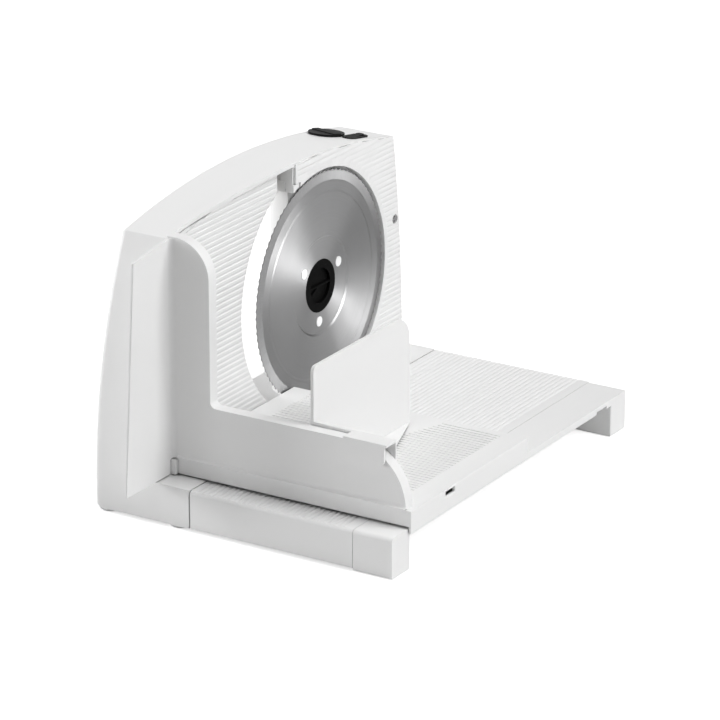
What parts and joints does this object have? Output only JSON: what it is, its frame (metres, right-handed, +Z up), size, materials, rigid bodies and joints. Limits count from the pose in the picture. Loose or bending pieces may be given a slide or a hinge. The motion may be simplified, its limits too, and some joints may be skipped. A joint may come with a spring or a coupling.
{
  "type": "electric food slicer",
  "caption": "Electric food slicer: arched motor housing, round waved blade driven by a worm gear, thickness plate set by a dial, and a sliding carriage with a remnant holder.",
  "frame": {"origin": "centre of the overall box's floor plan, on the worktop under the feet", "axes": "+X from the blade out over the table, along the blade's axle; +Y the way the carriage carries food past the blade; +Z up"},
  "size_m": [0.2418, 0.3664, 0.2084],
  "materials": {
    "shell_white": "satin moulded, ribbed sliding faces",
    "rubber_grey": "matt moulded",
    "control_black": "fine matt moulded",
    "steel_blade": "turned and ground in circles",
    "steel_plain": "bright machined",
    "gear_cream": "natural moulded",
    "bronze": "sintered"
  },
  "bodies": {
    "base": {"housing": "shell_white", "rear_cover": "shell_white", "rear_cover_screws": "steel_plain", "cord_gland": "control_black", "rubber_feet": "rubber_grey", "front_plate": "shell_white", "front_plate_screw": "steel_plain", "guide_rods": "steel_plain", "switch_bezel": "control_black", "switch_box": "control_black", "front_bush": "bronze", "rear_bush": "bronze", "motor_can": "steel_plain", "motor_magnets": "control_black", "motor_brushes": "bronze", "motor_end_bell": "control_black", "motor_bracket": "steel_plain", "motor_screws": "steel_plain", "bracket_screws": "steel_plain", "table": "shell_white", "end_rail": "shell_white", "rail_screws": "steel_plain", "hinge_pins": "steel_plain"},
    "blade_unit": {"blade": "steel_blade", "blade_flange": "gear_cream", "blade_rivets": "steel_plain", "blade_axle": "steel_plain", "worm_wheel": "gear_cream"},
    "centre_lock": {"blade_lock": "control_black"},
    "rotor": {"motor_rotor": "steel_plain"},
    "stop": {"stop_plate": "shell_white", "stop_carrier": "gear_cream"},
    "dial": {"thickness_dial": "control_black", "dial_pinion": "gear_cream"},
    "rocker": {"switch_rocker": "control_black"},
    "carriage": {"carriage_tray": "shell_white", "carriage_wall": "shell_white", "wall_screws": "steel_plain"},
    "holder": {"remnant_holder": "shell_white"}
  },
  "joints": [
    {"name": "blade_spin", "type": "hinge", "parent": "base", "child": "blade_unit", "pos_m": [-0.07265, 0.0698, 0.1068], "axis": [1, 0, 0], "continuous": true},
    {"name": "motor_spin", "type": "hinge", "parent": "base", "child": "rotor", "pos_m": [-0.09615, 0.0938, 0.1068], "axis": [0, 0, 1], "continuous": true},
    {"name": "lock_turn", "type": "hinge", "parent": "blade_unit", "child": "centre_lock", "pos_m": [-0.07265, 0.0698, 0.1068], "axis": [1, 0, 0], "range_deg": [0, 90]},
    {"name": "carriage_slide", "type": "slide", "parent": "base", "child": "carriage", "axis": [0, 1, 0], "range_m": [0, 0.19]},
    {"name": "holder_slide", "type": "slide", "parent": "carriage", "child": "holder", "axis": [1, 0, 0], "range_m": [-0.1, 0.005]},
    {"name": "stop_slide", "type": "slide", "parent": "base", "child": "stop", "axis": [-1, 0, 0], "range_m": [-0.006, 0.009]},
    {"name": "dial_turn", "type": "hinge", "parent": "base", "child": "dial", "pos_m": [-0.10115, 0.1243, 0.2013], "axis": [0, 0.1526, 0.9883], "range_deg": [-108, 72]},
    {"name": "switch_rock", "type": "hinge", "parent": "base", "child": "rocker", "pos_m": [-0.08185, 0.13245, 0.19846], "axis": [1, 0, 0], "range_deg": [-10, 0]}
  ],
  "couplings": [
    {"joint": "motor_spin", "follows": "blade_spin", "ratio": -36},
    {"joint": "dial_turn", "follows": "stop_slide", "rad_per_m": -208.33}
  ]
}
